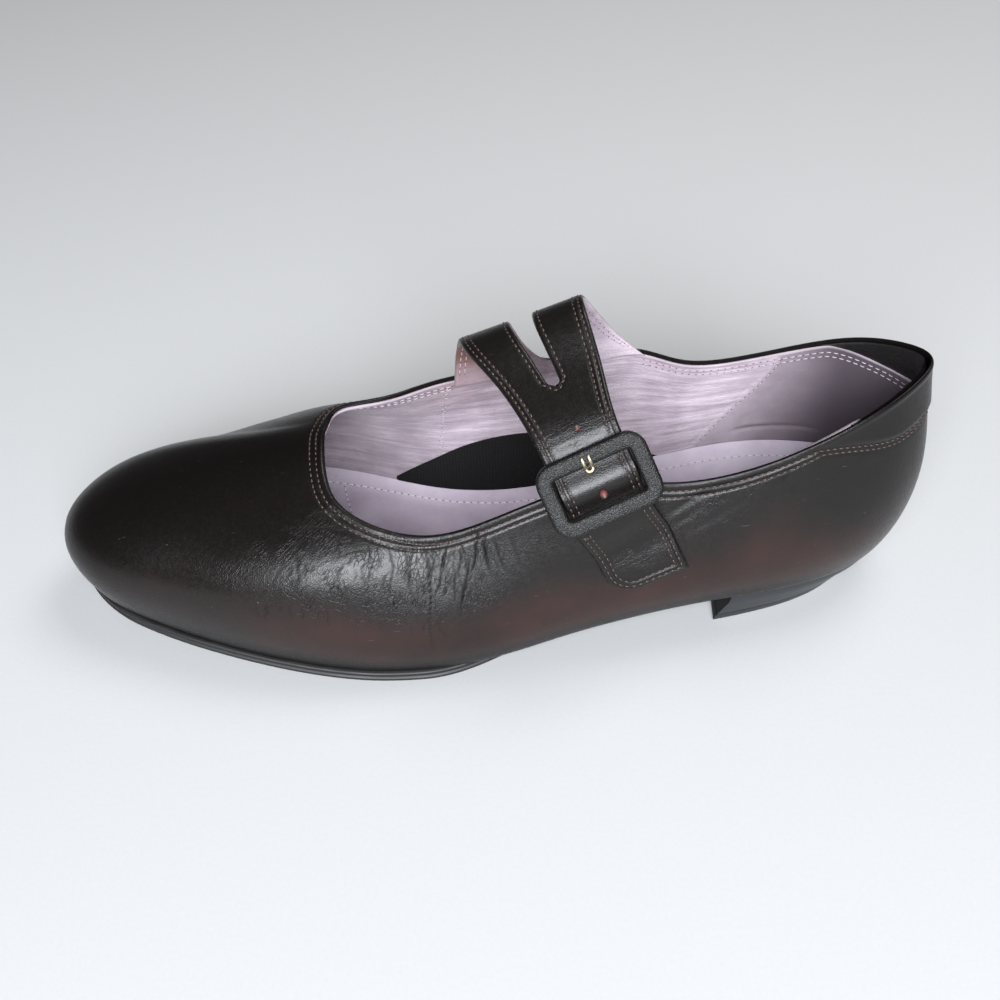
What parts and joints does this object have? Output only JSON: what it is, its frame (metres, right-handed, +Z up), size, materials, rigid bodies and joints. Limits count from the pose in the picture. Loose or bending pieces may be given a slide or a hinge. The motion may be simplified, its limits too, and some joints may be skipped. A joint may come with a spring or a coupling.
{
  "type": "mary jane shoe",
  "caption": "Left women's mary jane shoe of dark brown leather with a slit instep strap, a leather-covered buckle and a low covered heel.",
  "frame": {"origin": "middle of the shoe's bounding box, on the floor it stands on", "axes": "toe points to -X, heel to +X, the outer (lateral) side of this left shoe to -Y, its inner side to +Y, +Z up"},
  "size_m": [0.2568, 0.0878, 0.0895],
  "materials": {
    "upper": "satin, smooth waxed calf",
    "strap": "satin, smooth waxed calf with stitched edges",
    "outsole": "satin, trimmed and stained edge",
    "insole": "matte, pale lilac sock leather",
    "heel_block": "satin, covered heel",
    "heel_lift": "matte top piece",
    "arch_gore": "matte woven textile",
    "buckle_frame": "matte, pebbled leather covering",
    "centre_bar": "plated wire",
    "buckle_prong": "pale plated wire"
  },
  "bodies": {
    "root": {"upper": "upper", "strap": "strap", "outsole": "outsole", "insole": "insole", "heel_block": "heel_block", "heel_lift": "heel_lift", "arch_gore": "arch_gore", "buckle_frame": "buckle_frame", "centre_bar": "centre_bar", "buckle_prong": "buckle_prong"}
  },
  "joints": []
}
